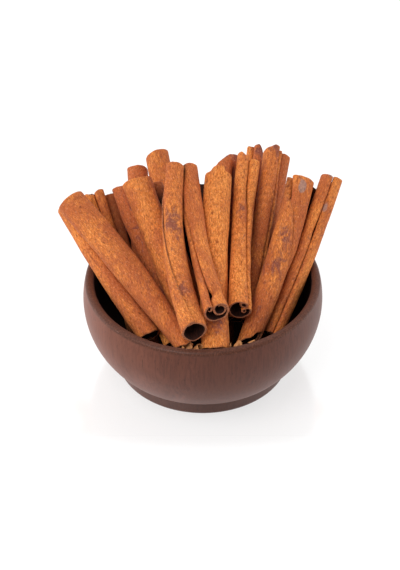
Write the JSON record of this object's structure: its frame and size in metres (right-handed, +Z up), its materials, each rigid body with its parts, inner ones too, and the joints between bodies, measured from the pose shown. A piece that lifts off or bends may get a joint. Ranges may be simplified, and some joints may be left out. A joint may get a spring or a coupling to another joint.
{
  "type": "bowl of cinnamon sticks",
  "caption": "Small turned wooden bowl holding a fanned stack of rolled cinnamon sticks whose tips lean out over the back of the rim; a spice portion for a kitchen or table.",
  "frame": {"origin": "centre of the bowl's foot, on the surface that it stands on", "axes": "+Z up along the bowl's turning axis; the sticks' butts face -Y and their tips lean out over the rim towards +Y; +X to the right seen from the butts"},
  "size_m": [0.1446, 0.145, 0.0968],
  "materials": {
    "bowl_wood": "dark oiled turned hardwood, satin outside, matt inside",
    "cinnamon_bark": "dry orange-brown rolled bark, matt, with fine grain and darker blotches"
  },
  "bodies": {
    "root": {"bowl": "bowl_wood", "quill_01": "cinnamon_bark", "quill_02": "cinnamon_bark", "quill_03": "cinnamon_bark", "quill_04": "cinnamon_bark", "quill_05": "cinnamon_bark", "quill_06": "cinnamon_bark", "quill_07": "cinnamon_bark", "quill_08": "cinnamon_bark", "quill_09": "cinnamon_bark", "quill_10": "cinnamon_bark", "quill_11": "cinnamon_bark", "quill_12": "cinnamon_bark", "quill_13": "cinnamon_bark", "quill_14": "cinnamon_bark", "quill_15": "cinnamon_bark", "quill_16": "cinnamon_bark", "quill_17": "cinnamon_bark", "quill_18": "cinnamon_bark", "quill_19": "cinnamon_bark", "quill_20": "cinnamon_bark", "quill_21": "cinnamon_bark", "quill_22": "cinnamon_bark", "quill_23": "cinnamon_bark", "quill_24": "cinnamon_bark", "quill_25": "cinnamon_bark"}
  },
  "joints": []
}
